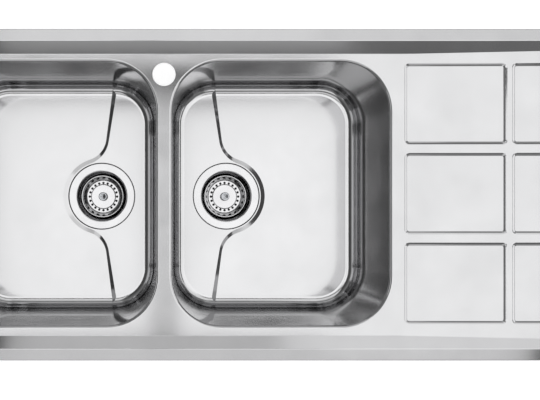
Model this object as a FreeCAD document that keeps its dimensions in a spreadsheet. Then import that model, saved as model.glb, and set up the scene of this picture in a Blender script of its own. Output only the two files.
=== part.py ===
import FreeCAD, Part

# Inset kitchen sink with two bowls and a drainer, in millimetres.
# +X runs to the drainer end, +Y to the back edge with the tap hole, +Z is up.
# The origin is the middle of the rim, in the plane of the worktop.

import math
import os

import Sketcher
from FreeCAD import Placement, Rotation, Vector

doc = FreeCAD.newDocument("Sink")

# Driving dimensions

driving_sizes = {
    # the pressed top
    "sink_length": 1160,
    "sink_width": 500,
    "sheet": 0.8,
    "outer_corner": 14,
    "rim_band": 18.1,
    "rim_edge_height": 4.4,
    "ridge_height": 6,
    "ridge_corner": 30,
    "slope_band": 18.5,
    "deck_drop": 3,
    "edge_bend": 1.4,
    "ridge_bend": 2.2,
    "foot_bend": 2.5,
    "lip_bend": 4,
    "lip_land": 1.5,
    # tap hole and bowl places
    "tap_from_back": 67.3,
    "tap_hole_radius": 17.5,
    "left_land": 53.7,
    "divider": 24.6,
    "bowl_land": 49.5,
    "bowl_offset": 2,
    # bowls
    "bowl_length": 331,
    "bowl_corner": 75,
    "bowl_depth": 180,
    "wall_lean": 6,
    "floor_bend": 18,
    "floor_fall": 0.8,
    "floor_margin": 3,
    "sump_fall": 3,
    "crease_end": 23,
    "crease_splay": 8.1,
    "crease_radius": 70,
    "crease_blend": 40,
    "crease_foot": 9,
    "crease_foot_end": 7.5,
    "crease_foot_splay": 9.1,
    "crease_grow_share": 0.5,
    "drain_from_divider": 97.7,
    "pad_margin_long": 15,
    "pad_margin_wide": 90,
    "pad_thickness": 2.5,
    # drainer
    "panel_from_bowl": 21.5,
    "panel_from_end": 80.2,
    "panel_inset": 2.5,
    "panel_corner": 7.5,
    "panel_gap_long": 8,
    "panel_gap_wide": 12.4,
    "panel_columns": 2,
    "panel_rows": 3,
    "panel_depth": 2.7,
    "panel_brow_run": 2.5,
    "panel_brow_fall": 1,
    "panel_wall_run": 2.1,
    "panel_brow_bend": 3,
    "panel_shoulder_bend": 1.8,
    "panel_foot_bend": 0.7,
    "drainer_lead": 10,
    "drainer_rise": 3.5,
    # wastes
    "drain_hole_radius": 45,
    "flange_radius": 57.3,
    "flange_sheet": 0.9,
    "flange_edge_bend": 0.35,
    "flange_recess": 2.6,
    "recess_gap": 0.3,
    "recess_wall": 1.6,
    "cup_radius": 43,
    "cup_lean": 3.5,
    "cup_depth": 40,
    "cup_bend": 3,
    "cup_dimple_radius": 10,
    "cup_dimple_depth": 4,
    "cup_hole_radius": 5,
    "cup_hole_circle": 20,
    "cup_hole_count": 8,
    "gasket": 1,
    "gasket_inner": 46.5,
    "body_gasket": 2,
    "body_flange_radius": 56,
    "body_flange": 4,
    "body_radius": 47.5,
    "body_wall": 2.6,
    "body_depth": 50,
    "body_floor_drop": 10,
    "tail_radius": 23.9,
    "tail_wall": 3,
    "tail_length": 24,
    "boss_radius": 7.5,
    "boss_length": 14,
    "rib_width": 3,
    "rib_height": 8,
    "waste_screw_radius": 3,
    "waste_screw_head": 5.5,
    "waste_screw_head_height": 3.2,
    "waste_screw_length": 18,
    "drive_radius": 2,
    "drive_depth": 1.6,
    # baskets
    "basket_sheet": 0.8,
    "basket_rim_radius": 37,
    "basket_rim_width": 1.8,
    "basket_depth": 20,
    "basket_floor_radius": 29.8,
    "basket_bend": 1.6,
    "basket_hole_radius": 2.2,
    "basket_hole_circle": 24.8,
    "basket_hole_count": 20,
    "dish_radius": 21,
    "dish_run": 1.6,
    "dish_rise": 1.4,
    "seal_outer": 33,
    "seal_height": 3.6,
    "seal_waist": 19,
    "seal_water_gap": 1.4,
    "seal_lip": 0.8,
    "knob_radius": 7.6,
    "knob_height": 13,
    "knob_cap": 4.2,
    "knob_neck": 4.2,
    "knob_foot": 5.6,
    "knob_foot_height": 1.6,
    "knob_dish": 5.4,
    "knob_dish_depth": 1.5,
    "knob_bend": 1.2,
    "knob_screw_radius": 2,
    "knob_screw_head": 3.8,
    "knob_screw_head_height": 2,
    "knob_screw_length": 8,
    # rim seal and clamps
    "seal_from_edge": 1.8,
    "seal_width": 7,
    "clamp_axis": 28,
    "clamp_margin": 95,
    "bracket_width": 18,
    "bracket_inner": 34,
    "bracket_outer": 21,
    "bracket_sheet": 1.8,
    "bracket_drop": 15,
    "clamp_screw_radius": 2.5,
    "clamp_screw_tip": 8,
    "clamp_screw_head": 4.8,
    "clamp_screw_head_height": 3.6,
    "clamp_reach": 26,
    "claw_width": 14,
    "claw_sheet": 2.5,
    "claw_tooth": 3.5,
    "claw_depth": 46,
    # fits
    "running_gap": 0.05,
    "rest_gap": 0.3,
    "overrun": 10,
    "edge_match": 0.02,
}

sheet_table = doc.addObject("Spreadsheet::Sheet", "Sizes")
for row, (alias, amount) in enumerate(driving_sizes.items(), start=1):
    sheet_table.set(f"A{row}", alias)
    sheet_table.set(f"B{row}", str(amount))
    sheet_table.setAlias(f"B{row}", alias)
doc.recompute()


# Sizes that carry their own expression


class Measure:
    """A size as a number, with the expression that works it out from the sheet."""

    def __init__(self, number, text):
        self.number = number
        self.text = text

    def __add__(self, other):
        return Measure(self.number + number_of(other), f"({self.text} + {text_of(other)})")

    def __sub__(self, other):
        return Measure(self.number - number_of(other), f"({self.text} - {text_of(other)})")

    def __mul__(self, other):
        return Measure(self.number * number_of(other), f"({self.text} * {text_of(other)})")

    def __truediv__(self, other):
        return Measure(self.number / number_of(other), f"({self.text} / {text_of(other)})")

    def __neg__(self):
        return Measure(-self.number, f"(-1 * {self.text})")


def number_of(amount):
    return amount.number if isinstance(amount, Measure) else amount


def text_of(amount):
    return amount.text if isinstance(amount, Measure) else str(amount)


class SizeNames:
    """Gives each alias of the sheet as a Measure, such as size.sheet."""

    def __getattr__(self, alias):
        return Measure(sheet_table.get(alias), f"Sizes.{alias}")


size = SizeNames()
ZERO = Measure(0, "0")


def bind(target, **properties):
    """Binds properties of an object to measures."""
    for name, measure in properties.items():
        target.setExpression(name, text_of(measure))


def place(target, path, x=ZERO, y=ZERO, z=ZERO, turn=None, axis=None):
    """Binds a placement's position, and its turn in degrees about an axis."""
    if axis is not None:
        start = Vector(number_of(x), number_of(y), number_of(z))
        setattr(target, path, Placement(start, Rotation(axis, number_of(turn))))
        target.setExpression(f"{path}.Rotation.Angle", text_of(turn))
    target.setExpression(f"{path}.Base.x", text_of(x))
    target.setExpression(f"{path}.Base.y", text_of(y))
    target.setExpression(f"{path}.Base.z", text_of(z))


# Sketch helpers


def new_body(label):
    body = doc.addObject("PartDesign::Body", label)
    body.Label = label
    return body


def new_sketch(body, label, plane="XY_Plane"):
    """An empty sketch on one of the body's own origin planes."""
    sketch = body.newObject("Sketcher::SketchObject", label)
    support = next(item for item in body.Origin.OriginFeatures if item.Role == plane)
    sketch.AttachmentSupport = [(support, "")]
    sketch.MapMode = "FlatFace"
    return sketch


def constrain(sketch, measure, kind, *items):
    """Adds a dimension to a sketch and binds it to a measure."""
    index = sketch.addConstraint(Sketcher.Constraint(kind, *items, number_of(measure)))
    sketch.setExpression(f"Constraints[{index}]", text_of(measure))


def pin_point(sketch, geometry, end, x, y):
    """Fixes a point of a sketch at a distance from the sketch's origin."""
    constrain(sketch, x, "DistanceX", -1, 1, geometry, end)
    constrain(sketch, y, "DistanceY", -1, 1, geometry, end)


def draw_polygon(sketch, points):
    """A closed outline of straight lines through points given as measures."""
    spots = [Vector(number_of(x), number_of(y), 0) for x, y in points]
    first = sketch.GeometryCount
    count = len(points)
    for start, end in zip(spots, spots[1:] + spots[:1]):
        sketch.addGeometry(Part.LineSegment(start, end))
    for index in range(count):
        following = first + (index + 1) % count
        sketch.addConstraint(Sketcher.Constraint("Coincident", first + index, 2, following, 1))
    for index, (x, y) in enumerate(points):
        pin_point(sketch, first + index, 1, x, y)


def draw_rounded_rectangle(sketch, length, width, corner, x=ZERO, y=ZERO):
    """A rectangle with rounded corners about the point x, y of the sketch."""
    left, right = x - length / 2, x + length / 2
    low, high = y - width / 2, y + width / 2
    l, r, b, t = (number_of(side) for side in (left, right, low, high))
    c = number_of(corner)
    first = sketch.GeometryCount
    lines = [
        ((l + c, b), (r - c, b)),
        ((r, b + c), (r, t - c)),
        ((r - c, t), (l + c, t)),
        ((l, t - c), (l, b + c)),
    ]
    centres = [(r - c, b + c, -90), (r - c, t - c, 0), (l + c, t - c, 90), (l + c, b + c, 180)]
    for (start, end), (cx, cy, angle) in zip(lines, centres):
        sketch.addGeometry(Part.LineSegment(Vector(*start, 0), Vector(*end, 0)))
        circle = Part.Circle(Vector(cx, cy, 0), Vector(0, 0, 1), c)
        from_angle, to_angle = math.radians(angle), math.radians(angle + 90)
        sketch.addGeometry(Part.ArcOfCircle(circle, from_angle, to_angle))
    for index in range(8):
        this, following = first + index, first + (index + 1) % 8
        sketch.addConstraint(Sketcher.Constraint("Tangent", this, 2, following, 1))
    for index, direction in ((0, "Horizontal"), (2, "Vertical"), (4, "Horizontal"), (6, "Vertical")):
        sketch.addConstraint(Sketcher.Constraint(direction, first + index))
    for index in (3, 5, 7):
        sketch.addConstraint(Sketcher.Constraint("Equal", first + 1, first + index))
    constrain(sketch, corner, "Radius", first + 1)
    constrain(sketch, low, "DistanceY", -1, 1, first, 1)
    constrain(sketch, high, "DistanceY", -1, 1, first + 4, 1)
    constrain(sketch, right, "DistanceX", -1, 1, first + 2, 1)
    constrain(sketch, left, "DistanceX", -1, 1, first + 6, 1)


def draw_circle(sketch, radius, x=ZERO, y=ZERO):
    centre = Vector(number_of(x), number_of(y), 0)
    index = sketch.addGeometry(Part.Circle(centre, Vector(0, 0, 1), number_of(radius)))
    constrain(sketch, radius, "Radius", index)
    pin_point(sketch, index, 3, x, y)


def rectangle_sketch(body, label, length, width, corner, x=ZERO, y=ZERO, z=ZERO):
    """A level sketch at height z that holds one rounded rectangle about x, y."""
    sketch = new_sketch(body, label)
    draw_rounded_rectangle(sketch, length, width, corner)
    place(sketch, "AttachmentOffset", x, y, z)
    return sketch


def circle_sketch(body, label, radius, x=ZERO, y=ZERO, z=ZERO):
    sketch = new_sketch(body, label)
    draw_circle(sketch, radius)
    place(sketch, "AttachmentOffset", x, y, z)
    return sketch


# Feature helpers


def extrude(body, kind, label, sketch, length, down=False, taper=None):
    """A Pad or a Pocket of a sketch. A Pocket goes down unless down is False."""
    feature = body.newObject(f"PartDesign::{kind}", label)
    feature.Profile = sketch
    bind(feature, Length=length)
    feature.Reversed = down if kind == "Pad" else not down
    if taper is not None:
        bind(feature, TaperAngle=taper)
    return feature


def pad(body, label, sketch, length, down=False, taper=None):
    return extrude(body, "Pad", label, sketch, length, down, taper)


def pocket(body, label, sketch, length, taper=None):
    """A pocket that is cut downwards, checked by the volume that it takes away."""
    doc.recompute()
    before = body.Shape.Volume
    feature = extrude(body, "Pocket", label, sketch, length, True, taper)
    doc.recompute()
    if not body.Shape.Volume < before:
        raise RuntimeError(f"{body.Label}: {label} cuts nothing")
    return feature


def loft(body, kind, label, sections):
    """A ruled loft through sketches, added to or cut from the body."""
    feature = body.newObject(f"PartDesign::{kind}", label)
    feature.Profile = sections[0]
    feature.Sections = [(section, [""]) for section in sections[1:]]
    feature.Ruled = True
    return feature


def revolve(body, label, points):
    """A solid of revolution about the body's Z axis through radius, height points."""
    sketch = new_sketch(body, f"{label}Profile", "XZ_Plane")
    draw_polygon(sketch, points)
    feature = body.newObject("PartDesign::Revolution", label)
    feature.Profile = sketch
    feature.ReferenceAxis = (sketch, ["V_Axis"])
    feature.Angle = 360
    return feature


def round_edges(body, label, radius, chosen):
    """Rounds the edges of the body's present shape that the test chosen picks."""
    doc.recompute()
    base = body.Tip
    names = [f"Edge{number}" for number, edge in enumerate(base.Shape.Edges, 1) if chosen(edge)]
    if not names:
        raise RuntimeError(f"{body.Label}: {label} finds no edge")
    feature = body.newObject("PartDesign::Fillet", label)
    feature.Base = (base, names)
    bind(feature, Radius=radius)
    return feature


def ring_pattern(body, label, feature, sketch, count):
    """Repeats a feature evenly round the sketch's own normal through the origin."""
    pattern = body.newObject("PartDesign::PolarPattern", label)
    pattern.Originals = [feature]
    pattern.Axis = (sketch, ["N_Axis"])
    pattern.Angle = 360
    bind(pattern, Occurrences=count)
    body.Tip = pattern
    return pattern


match_limit = number_of(size.edge_match)


def near(first, second):
    return abs(first - number_of(second)) < match_limit


def at_height(edge, height):
    """True for an edge that lies level at a height."""
    return near(edge.BoundBox.ZMin, height) and near(edge.BoundBox.ZMax, height)


def within(edge, x, y, length, width):
    """True for an edge inside the upright block of a length and width about x, y."""
    box = edge.BoundBox
    over_x = max(box.XMax - number_of(x), number_of(x) - box.XMin) - number_of(length) / 2
    over_y = max(box.YMax - number_of(y), number_of(y) - box.YMin) - number_of(width) / 2
    return over_x < match_limit and over_y < match_limit


def is_ring(edge, radius, height):
    """True for a full level circle of a radius, at a height."""
    circle = isinstance(edge.Curve, Part.Circle)
    return circle and near(edge.Curve.Radius, radius) and at_height(edge, height)


def combine(kind, label, base, tool):
    """A boolean of two objects, such as Cut or Common."""
    result = doc.addObject(f"Part::{kind}", label)
    result.Label = label
    result.Base = base
    result.Tool = tool
    return result


def join(label, shapes):
    result = doc.addObject("Part::MultiFuse", label)
    result.Label = label
    result.Shapes = shapes
    return result


nodes = []


def keep(item, name=None):
    """Marks an object as a finished piece, which gets a file of its own."""
    item.Label = name or item.Label
    nodes.append(item)
    return item


# Places that several pieces share

half_length = size.sink_length / 2
half_width = size.sink_width / 2
bowl_width = size.sink_width - size.bowl_land * 2
bowl_spacing = size.bowl_length + size.divider
tap_x = size.left_land + size.bowl_length + size.divider / 2 - half_length
tap_y = half_width - size.tap_from_back
bowl_x = tap_x + bowl_spacing / 2
left_bowl_x = tap_x - bowl_spacing / 2
bowl_y = size.bowl_offset
drain_from_tap = size.divider / 2 + size.drain_from_divider
drain_x = tap_x + drain_from_tap
left_drain_x = tap_x - drain_from_tap
deck_z = -size.deck_drop
lip_z = deck_z - size.lip_bend - size.lip_land
floor_z = deck_z - size.bowl_depth
ridge_length = size.sink_length - size.rim_band * 2
ridge_width = size.sink_width - size.rim_band * 2
foot_length = ridge_length - size.slope_band * 2
foot_width = ridge_width - size.slope_band * 2
foot_corner = size.ridge_corner - size.slope_band
foot_inset = size.rim_band + size.slope_band

# The drainer plane: where it starts, and how it rises to the foot of the rim's slope
panel_x = bowl_x + size.bowl_length / 2 + size.panel_from_bowl
panels_length = half_length - size.panel_from_end - panel_x
panels_width = bowl_width - size.panel_inset * 2
panel_length = (panels_length + size.panel_gap_long) / size.panel_columns - size.panel_gap_long
panel_width = (panels_width + size.panel_gap_wide) / size.panel_rows - size.panel_gap_wide
drainer_x = panel_x - size.drainer_lead
drainer_run = half_length - foot_inset - drainer_x
drainer_tilt = Measure(
    math.degrees(math.atan2(number_of(size.drainer_rise), number_of(drainer_run))),
    f"atan({size.drainer_rise.text} / {drainer_run.text})",
)


# Pressed top: one form for the upper face of the sheet and one for its under face


def add_drainer_rise(body, drop):
    """The wedge that lifts the deck slowly towards the drainer's end."""
    sketch = new_sketch(body, "DrainerWedgeSketch", "XZ_Plane")
    end = drainer_x + drainer_run
    depth = size.lip_bend
    points = [
        (drainer_x, ZERO),
        (end, size.drainer_rise),
        (end + size.slope_band, size.drainer_rise),
        (end + size.slope_band, -depth),
        (drainer_x, -depth),
    ]
    draw_polygon(sketch, points)
    place(sketch, "AttachmentOffset", y=deck_z - drop)
    wedge = body.newObject("PartDesign::Pad", "DrainerWedge")
    wedge.Profile = sketch
    wedge.Midplane = True
    bind(wedge, Length=ridge_width)
    return wedge


def panel_sketch(body, label, inset, z):
    """The first panel's outline, drawn in by inset in the drainer plane through height z."""
    sketch = new_sketch(body, label)
    length, width = panel_length - inset * 2, panel_width - inset * 2
    first_x = size.drainer_lead + panel_length / 2
    first_y = bowl_y - (panel_width + size.panel_gap_wide) * (size.panel_rows - 1) / 2
    draw_rounded_rectangle(sketch, length, width, size.panel_corner - inset, first_x, first_y)
    down = Vector(0, -1, 0)
    place(sketch, "AttachmentOffset", x=drainer_x, z=z, turn=drainer_tilt, axis=down)
    return sketch


def sink_panels(body, drop):
    """Square panels pressed down into the drainer plane, in rows and columns."""
    top = deck_z - drop
    foot_inset = size.panel_brow_run + size.panel_wall_run
    brim = panel_sketch(body, "PanelBrim", ZERO, top)
    shoulder = panel_sketch(body, "PanelShoulder", size.panel_brow_run, top - size.panel_brow_fall)
    foot = panel_sketch(body, "PanelFoot", foot_inset, top - size.panel_depth)
    panel = loft(body, "SubtractiveLoft", "Panel", [brim, shoulder, foot])
    pattern = body.newObject("PartDesign::LinearPattern", "Panels")
    pattern.Originals = [panel]
    pattern.Direction = (brim, ["H_Axis"])
    pattern.Direction2 = (brim, ["V_Axis"])
    pattern.Mode = "Extent"
    pattern.Mode2 = "Extent"
    step_x = panel_length + size.panel_gap_long
    step_y = panel_width + size.panel_gap_wide
    bind(pattern, Length=step_x * (size.panel_columns - 1), Length2=step_y * (size.panel_rows - 1))
    bind(pattern, Occurrences=size.panel_columns, Occurrences2=size.panel_rows)
    body.Tip = pattern
    return pattern


def over_drainer(edge, drop, depth):
    """True for a short or long edge that lies in the drainer plane, lowered by depth."""
    tilt = math.radians(number_of(drainer_tilt))
    for vertex in edge.Vertexes:
        run = vertex.X - number_of(drainer_x)
        plane = number_of(deck_z - drop) + run * math.tan(tilt) - number_of(depth)
        if abs(vertex.Z - plane) > match_limit:
            return False
    return True


def inside_panels(edge):
    """True for an edge within the block of drainer panels."""
    return within(edge, panel_x + panels_length / 2, bowl_y, panels_length, panels_width)


def deck_form(label, drop, base_z, bottom_length, bottom_width):
    """A solid whose top is the pressed top's face, lowered by drop and drawn in by it."""
    body = new_body(label)
    outer_length = size.sink_length - drop * 2
    outer_width = size.sink_width - drop * 2
    outer_corner = size.outer_corner - drop
    edge_z = size.rim_edge_height - drop
    ridge_z = size.ridge_height - drop

    outline = rectangle_sketch(body, "Outline", outer_length, outer_width, outer_corner, z=base_z)
    pad(body, "Edge", outline, edge_z - base_z)

    low = rectangle_sketch(body, "BandLow", outer_length, outer_width, outer_corner, z=edge_z)
    high = rectangle_sketch(body, "BandHigh", ridge_length, ridge_width, size.ridge_corner, z=ridge_z)
    loft(body, "AdditiveLoft", "Band", [low, high])

    block = rectangle_sketch(body, "Block", bottom_length, bottom_width, foot_corner, z=lip_z)
    pad(body, "LipBlock", block, -lip_z)

    top = rectangle_sketch(body, "RecessTop", ridge_length, ridge_width, size.ridge_corner, z=ridge_z)
    foot = rectangle_sketch(body, "RecessFoot", foot_length, foot_width, foot_corner, z=deck_z - drop)
    loft(body, "SubtractiveLoft", "Recess", [top, foot])

    level_bends = {
        "RidgeBend": (size.ridge_bend - drop, ridge_z),
        "EdgeBend": (size.edge_bend - drop, edge_z),
        "FootBend": (size.foot_bend + drop, deck_z - drop),
    }
    for bend, (radius, height) in level_bends.items():
        round_edges(body, bend, radius, lambda edge: at_height(edge, height))

    add_drainer_rise(body, drop)
    return body


def finish_deck_form(body, drop):
    """Drainer panels, tap hole, bowl openings and the bends round them."""
    sink_panels(body, drop)
    bends = {
        "PanelFootBend": (size.panel_foot_bend + drop, size.panel_depth),
        "PanelShoulderBend": (size.panel_shoulder_bend - drop, size.panel_brow_fall),
        "PanelBrowBend": (size.panel_brow_bend - drop, ZERO),
    }
    for bend, (radius, depth) in bends.items():
        round_edges(
            body, bend, radius, lambda edge: inside_panels(edge) and over_drainer(edge, drop, depth)
        )

    tap = circle_sketch(body, "TapHole", size.tap_hole_radius, tap_x, tap_y, size.ridge_height)
    pocket(body, "TapPocket", tap, size.ridge_height + size.overrun * 2)
    length = size.bowl_length + drop * 2
    width = bowl_width + drop * 2
    corner = size.bowl_corner + drop
    for side, x in (("Right", bowl_x), ("Left", left_bowl_x)):
        spot = x, bowl_y, size.ridge_height
        opening = rectangle_sketch(body, f"{side}Opening", length, width, corner, *spot)
        pocket(body, f"{side}OpeningPocket", opening, size.ridge_height + size.overrun * 2)

    def is_lip(edge):
        level = at_height(edge, deck_z - drop)
        return level and any(within(edge, x, bowl_y, length, width) for x in (bowl_x, left_bowl_x))

    round_edges(body, "LipBend", size.lip_bend - drop, is_lip)
    return body


def make_deck():
    """The pressed top, and the solid that its under face bounds."""
    block_length = ridge_length - size.slope_band
    block_width = ridge_width - size.slope_band
    upper = deck_form("deck_upper_form", ZERO, ZERO, block_length, block_width)
    finish_deck_form(upper, ZERO)
    under_base = lip_z - size.overrun
    under = deck_form("deck_under_form", size.sheet, under_base, block_length, block_width)
    finish_deck_form(under, size.sheet)
    deck = keep(combine("Cut", "deck", upper, under))
    return deck, under


deck, deck_under = make_deck()


# Bowls: a solid for the inside and one for the outside of the drawn sheet

floor_inset = size.wall_lean + size.floor_bend + size.floor_margin
sump_z = floor_z - size.sump_fall
seat_z = sump_z - size.flange_recess
recess_radius = size.flange_radius + size.recess_gap
crease_reach = bowl_width / 2 + size.overrun


def bowl_walls(label, grow, fall=ZERO):
    """The bowl's space down to a level floor, grown outwards by a thickness."""
    body = new_body(label)
    length = size.bowl_length + grow * 2
    width = bowl_width + grow * 2
    corner = size.bowl_corner + grow
    low_z = floor_z - grow - fall
    lean = size.wall_lean * (lip_z - low_z) / (lip_z - floor_z)
    top = rectangle_sketch(body, "Mouth", length, width, corner, bowl_x, bowl_y, lip_z)
    low = rectangle_sketch(
        body, "Floor", length - lean * 2, width - lean * 2, corner - lean, bowl_x, bowl_y, low_z
    )
    loft(body, "AdditiveLoft", "Walls", [top, low])
    round_edges(body, "FloorBend", size.floor_bend + grow, lambda edge: at_height(edge, low_z))
    return body


def floor_funnel(label, fall, grow):
    """The shallow fall of the floor towards the drain, below the level floor."""
    body = new_body(label)
    length = size.bowl_length - floor_inset * 2
    width = bowl_width - floor_inset * 2
    corner = size.bowl_corner - floor_inset
    side = (recess_radius + size.recess_wall + size.floor_margin) * 2
    top = rectangle_sketch(body, "Rim", length, width, corner, bowl_x, bowl_y, floor_z - grow)
    low = rectangle_sketch(body, "Low", side, side, corner, drain_x, bowl_y, floor_z - grow - fall)
    loft(body, "AdditiveLoft", "Fall", [top, low])
    return body


def crease_sketch(body, label, end, splay, bay, blend, z):
    """The plan of the lowered zone round the drain: two splayed sides and a round bay."""
    sketch = new_sketch(body, label)
    far_x = -size.drain_from_divider - size.overrun
    end_x, end_y = number_of(-end), number_of(crease_reach)
    bay_radius, blend_radius = number_of(bay), number_of(blend)
    lean = math.radians(number_of(splay))
    along = Vector(math.sin(lean), -math.cos(lean), 0)
    across = Vector(math.cos(lean), math.sin(lean), 0)
    start = Vector(end_x, end_y, 0)
    offset = start + across * blend_radius
    nearest = offset.dot(along)
    span = nearest**2 - offset.dot(offset) + (bay_radius + blend_radius) ** 2
    run = -nearest - math.sqrt(span)
    centre = offset + along * run
    leave = start + along * run
    meet = centre * (bay_radius / (bay_radius + blend_radius))

    def mirrored(point):
        return Vector(point.x, -point.y, 0)

    def arc(middle, radius, first, last):
        circle = Part.Circle(middle, Vector(0, 0, 1), radius)
        angles = [math.atan2(spot.y - middle.y, spot.x - middle.x) for spot in (first, last)]
        return Part.ArcOfCircle(circle, *angles)

    far = Vector(number_of(far_x), end_y, 0)
    outline = [
        Part.LineSegment(mirrored(far), mirrored(start)),
        Part.LineSegment(mirrored(start), mirrored(leave)),
        arc(mirrored(centre), blend_radius, mirrored(meet), mirrored(leave)),
        arc(Vector(0, 0, 0), bay_radius, mirrored(meet), meet),
        arc(centre, blend_radius, leave, meet),
        Part.LineSegment(leave, start),
        Part.LineSegment(start, far),
        Part.LineSegment(far, mirrored(far)),
    ]
    for piece in outline:
        sketch.addGeometry(piece)
    joints = [
        ("Coincident", 0, 2, 1, 1),
        ("Tangent", 1, 2, 2, 2),
        ("Tangent", 2, 1, 3, 1),
        ("Tangent", 3, 2, 4, 2),
        ("Tangent", 4, 1, 5, 1),
        ("Coincident", 5, 2, 6, 1),
        ("Coincident", 6, 2, 7, 1),
        ("Coincident", 7, 2, 0, 1),
        ("Coincident", 3, 3, -1, 1),
        ("Equal", 2, 4),
    ]
    for joint in joints:
        sketch.addConstraint(Sketcher.Constraint(*joint))
    constrain(sketch, bay, "Radius", 3)
    constrain(sketch, blend, "Radius", 4)
    pin_point(sketch, 1, 1, -end, -crease_reach)
    pin_point(sketch, 5, 2, -end, crease_reach)
    pin_point(sketch, 0, 1, far_x, -crease_reach)
    pin_point(sketch, 7, 1, far_x, crease_reach)
    place(sketch, "AttachmentOffset", drain_x, bowl_y, z)
    return sketch


def crease_zone(label, grow):
    """The block that bounds the lowered zone, with a sloped side below the floor's level."""
    body = new_body(label)
    high_z = floor_z - grow
    spread = grow * size.crease_grow_share
    end = size.crease_end - spread
    bay = size.crease_radius + spread
    blend = size.crease_blend - spread
    foot = size.crease_foot
    brim_plan = end, size.crease_splay, bay, blend
    foot_plan = end + size.crease_foot_end, size.crease_foot_splay, bay - foot, blend + foot
    brim = crease_sketch(body, "Brim", *brim_plan, high_z)
    low = crease_sketch(body, "Foot", *foot_plan, high_z - size.sump_fall)
    loft(body, "AdditiveLoft", "Slope", [brim, low])
    upright = crease_sketch(body, "Upright", *brim_plan, high_z)
    pad(body, "Rise", upright, size.floor_bend + size.floor_margin)
    return body


def flange_seat(label, grow):
    """The round recess that the waste flange sits in."""
    body = new_body(label)
    low = recess_radius + grow
    high = low + size.recess_wall
    points = [(ZERO, sump_z - grow), (high, sump_z - grow), (low, seat_z - grow), (ZERO, seat_z - grow)]
    revolve(body, "Seat", points)
    place(body, "Placement", drain_x, bowl_y)
    return body


def bowl_space(label, grow):
    """The whole space of a bowl, grown outwards by a thickness."""
    deeper = bowl_walls(f"{label}_deep_walls", grow, size.sump_fall)
    parts = [
        bowl_walls(f"{label}_walls", grow),
        floor_funnel(f"{label}_floor_fall", size.floor_fall, grow),
        combine("Common", f"{label}_sump", crease_zone(f"{label}_zone", grow), deeper),
        flange_seat(f"{label}_seat", grow),
    ]
    return join(label, parts)


def mirror_to_left(source, label):
    """A copy of a right-hand piece on the other side of the tap's axis."""
    mirror = doc.addObject("Part::Mirroring", label)
    mirror.Source = source
    mirror.Normal = Vector(1, 0, 0)
    bind(mirror, **{"Base.x": tap_x})
    return keep(mirror, label)


def make_bowls():
    inner = bowl_space("bowl_inside", ZERO)
    outer = bowl_space("bowl_outside", size.sheet)
    hole = doc.addObject("Part::Cylinder", "drain_hole")
    bind(hole, Radius=size.drain_hole_radius, Height=size.overrun * 2)
    place(hole, "Placement", drain_x, bowl_y, seat_z - size.overrun)
    shell = combine("Cut", "bowl_shell", outer, inner)
    right = keep(combine("Cut", "right_bowl", shell, hole))
    mirror_to_left(right, "left_bowl")
    return outer


def make_sound_pads(outer):
    """A damping pad glued under the main floor of each bowl."""
    grow = size.sheet + size.pad_thickness
    layers = [bowl_walls("pad_walls", grow), floor_funnel("pad_fall", size.floor_fall, grow)]
    below = combine("Cut", "pad_below_bowl", join("pad_layer", layers), outer)
    block = new_body("pad_block")
    bay_edge = drain_x + size.crease_radius
    floor_edge = bowl_x + size.bowl_length / 2 - floor_inset
    middle = (bay_edge + floor_edge) / 2
    length = floor_edge - bay_edge - size.pad_margin_long * 2
    width = bowl_width - size.pad_margin_wide * 2
    low_z = floor_z - size.overrun
    sketch = rectangle_sketch(block, "Plan", length, width, size.floor_bend, middle, bowl_y, low_z)
    pad(block, "Block", sketch, size.overrun)
    right = keep(combine("Common", "right_sound_pad", below, block))
    mirror_to_left(right, "left_sound_pad")


# Wastes: the same set of pieces at each drain

flange_under = seat_z + size.gasket
flange_top = flange_under + size.flange_sheet
cup_floor = flange_top - size.cup_depth
dimple_z = cup_floor - size.cup_dimple_depth
body_top = seat_z - size.sheet - size.body_gasket
boss_top = dimple_z - size.flange_sheet
screw_bore = size.waste_screw_radius + size.running_gap


def at_drain(body, x, name):
    place(body, "Placement", x, bowl_y)
    return keep(body, name)


def ring(name, x, inner, outer, low, high):
    """A plain flat ring, such as a gasket."""
    body = new_body(name)
    revolve(body, "Ring", [(inner, low), (outer, low), (outer, high), (inner, high)])
    return at_drain(body, x, name)


def drill_ring(body, label, hole_radius, circle, count, z, depth):
    """Round holes evenly spaced on a circle about the body's axis."""
    sketch = new_sketch(body, f"{label}Sketch")
    draw_circle(sketch, hole_radius, circle)
    place(sketch, "AttachmentOffset", z=z)
    hole = pocket(body, label, sketch, depth)
    ring_pattern(body, f"{label}Ring", hole, sketch, count)


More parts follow.
